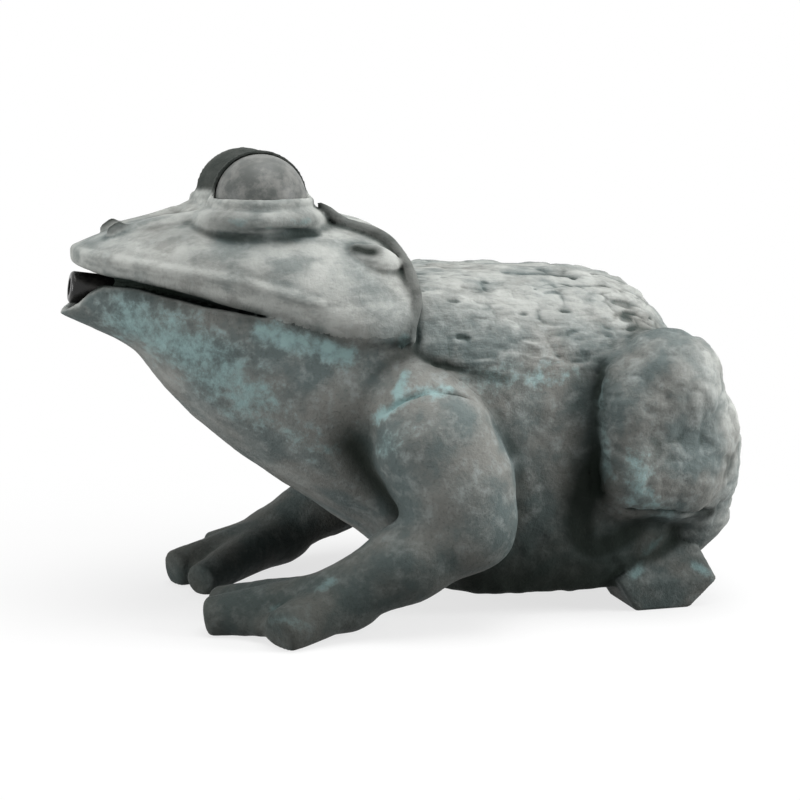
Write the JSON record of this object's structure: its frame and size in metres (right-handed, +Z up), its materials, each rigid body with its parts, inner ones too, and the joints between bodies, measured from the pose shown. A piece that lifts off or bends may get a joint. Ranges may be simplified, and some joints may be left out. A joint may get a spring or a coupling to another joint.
{
  "type": "frog figurine",
  "caption": "Hollow cast bronze garden frog that spits water: it squats with its head raised, a spout between its lips and a hose tail in its open belly.",
  "frame": {"origin": "on the ground under the middle of the frog's box", "axes": "+X towards the rump, so the frog faces -X; +Y towards its right side; +Z up"},
  "size_m": [0.28, 0.168, 0.1895],
  "materials": {
    "bronze_skin": "satin, weathered grey-green patina with turquoise verdigris in the creases",
    "bronze_eye": "smooth satin, grey-brown patina",
    "dark_spout": "dark, slightly glossy",
    "copper_pipe": "dull oxidised copper",
    "steel_fixing": "dull",
    "brass_fitting": "machined, tarnished",
    "rubber_washer": "matte"
  },
  "bodies": {
    "root": {"body_shell": "bronze_skin", "head_shell": "bronze_skin", "throat_shell": "bronze_skin", "left_eye": "bronze_eye", "right_eye": "bronze_eye", "left_foreleg": "bronze_skin", "right_foreleg": "bronze_skin", "left_hind_leg": "bronze_skin", "right_hind_leg": "bronze_skin", "left_hind_foot": "bronze_skin", "right_hind_foot": "bronze_skin", "spout_nozzle": "dark_spout", "water_pipe": "copper_pipe", "pipe_bracket": "steel_fixing", "bracket_screws": "steel_fixing", "hose_tail": "brass_fitting", "lock_nut": "brass_fitting", "sealing_washer": "rubber_washer"}
  },
  "joints": []
}
